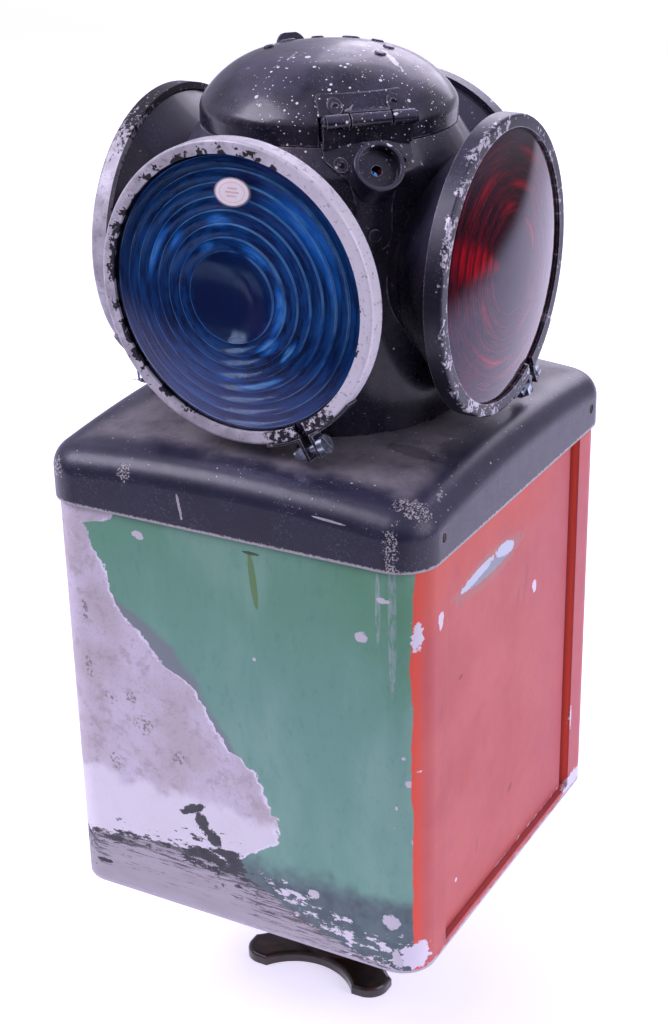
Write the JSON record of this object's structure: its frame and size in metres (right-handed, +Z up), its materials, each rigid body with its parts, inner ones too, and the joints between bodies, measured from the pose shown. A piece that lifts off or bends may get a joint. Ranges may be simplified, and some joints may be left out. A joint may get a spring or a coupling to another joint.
{
  "type": "four-way electric signal lamp on a battery case",
  "caption": "Railway-type traffic signal head: blue and red lenses face four ways on a lamp body with a hinged dome, over a painted battery case on a cast foot.",
  "frame": {"origin": "centre of the foot's underside, on the lamp's vertical axis", "axes": "+Z up along the lamp's axis, -Y out of the front (blue) lens, +X out of the battery door and the right (red) lens"},
  "size_m": [0.2044, 0.2214, 0.5011],
  "materials": {
    "foot_iron": "glossy dark brown enamel over cast iron",
    "black_enamel": "worn satin blue-black enamel",
    "lid_enamel": "dusty, worn satin black enamel",
    "case_paint": "worn sea green, flaking to primer; red on the door side",
    "door_paint": "faded, chipped red",
    "worn_bezel": "bare, scuffed grey metal with specks of old black paint",
    "black_bezel": "black enamel chipped to bright metal",
    "zinc": "zinc-plated",
    "plain_steel": "plain rolled steel",
    "rubber_seal": "matte black",
    "blue_glass": "pressed cobalt-blue signal glass",
    "red_glass": "pressed ruby signal glass",
    "clear_glass": "clear",
    "brass": "dull",
    "filament_wire": "drawn wire",
    "porcelain": "off-white glaze",
    "wood_board": "oiled board",
    "battery_case": "moulded black jar",
    "lead_red": "rubber-covered lead",
    "lead_black": "rubber-covered lead"
  },
  "bodies": {
    "root": {"foot_casting": "foot_iron", "spindle_set_screw": "zinc", "foot_washers": "zinc", "foot_bolts": "zinc", "foot_nuts": "zinc", "case_bottom": "case_paint", "case_shell": "case_paint", "door_frame": "case_paint", "door_seal": "rubber_seal", "door_hinge_rod": "plain_steel", "door_catch_clip": "plain_steel", "lid_pan": "lid_enamel", "lid_screws": "zinc", "lid_nuts": "zinc", "lamp_body": "black_enamel", "body_screws": "zinc", "body_nuts": "zinc", "lens_hood_front": "black_enamel", "lens_hood_right": "black_enamel", "lens_hood_rear": "black_enamel", "lens_hood_left": "black_enamel", "lens_gaskets": "rubber_seal", "lens_front": "blue_glass", "lens_right": "red_glass", "lens_rear": "blue_glass", "lens_left": "red_glass", "bezel_front": "worn_bezel", "bezel_right": "black_bezel", "bezel_rear": "black_bezel", "bezel_left": "worn_bezel", "clamp_lugs": "black_bezel", "clamp_bolts": "zinc", "clamp_nuts": "zinc", "hinge_strap": "black_enamel", "strap_rivets": "black_enamel", "vent_cup": "black_enamel", "dome_hinge_pin": "black_enamel", "latch_keeper": "black_enamel", "lamp_bracket": "plain_steel", "bulb_socket": "porcelain", "socket_terminals": "brass", "battery_board": "wood_board", "battery": "battery_case", "battery_knobs": "brass", "battery_strap": "plain_steel", "strap_screws": "zinc", "lead_positive": "lead_red", "lead_negative": "lead_black"},
    "door": {"door_panel": "door_paint", "door_catch_tongue": "plain_steel"},
    "dome": {"dome_cap": "black_enamel", "dome_leaf": "black_enamel", "leaf_rivets": "black_enamel", "latch_bracket": "black_enamel", "latch_rivets": "black_enamel", "latch_pin": "black_enamel"},
    "latch": {"latch_lever": "black_enamel"},
    "bulb": {"bulb_cap": "brass", "bulb_glass": "clear_glass", "filament": "filament_wire"}
  },
  "joints": [
    {"name": "door_hinge", "type": "hinge", "parent": "root", "child": "door", "pos_m": [0.092, -0.0732, 0.19], "axis": [0, 0, -1], "range_deg": [0, 88]},
    {"name": "dome_hinge", "type": "hinge", "parent": "root", "child": "dome", "pos_m": [0.04525, -0.04525, 0.4785], "axis": [0.7071, 0.7071, 0], "range_deg": [0, 105]},
    {"name": "latch_pivot", "type": "hinge", "parent": "dome", "child": "latch", "pos_m": [-0.04561, 0.04561, 0.478], "axis": [0.7071, 0.7071, 0], "range_deg": [0, 12], "stiffness_Nm_per_rad": 0.05},
    {"name": "bulb_lift", "type": "slide", "parent": "root", "child": "bulb", "axis": [0, 0, 1], "range_m": [0, 0.03]}
  ]
}
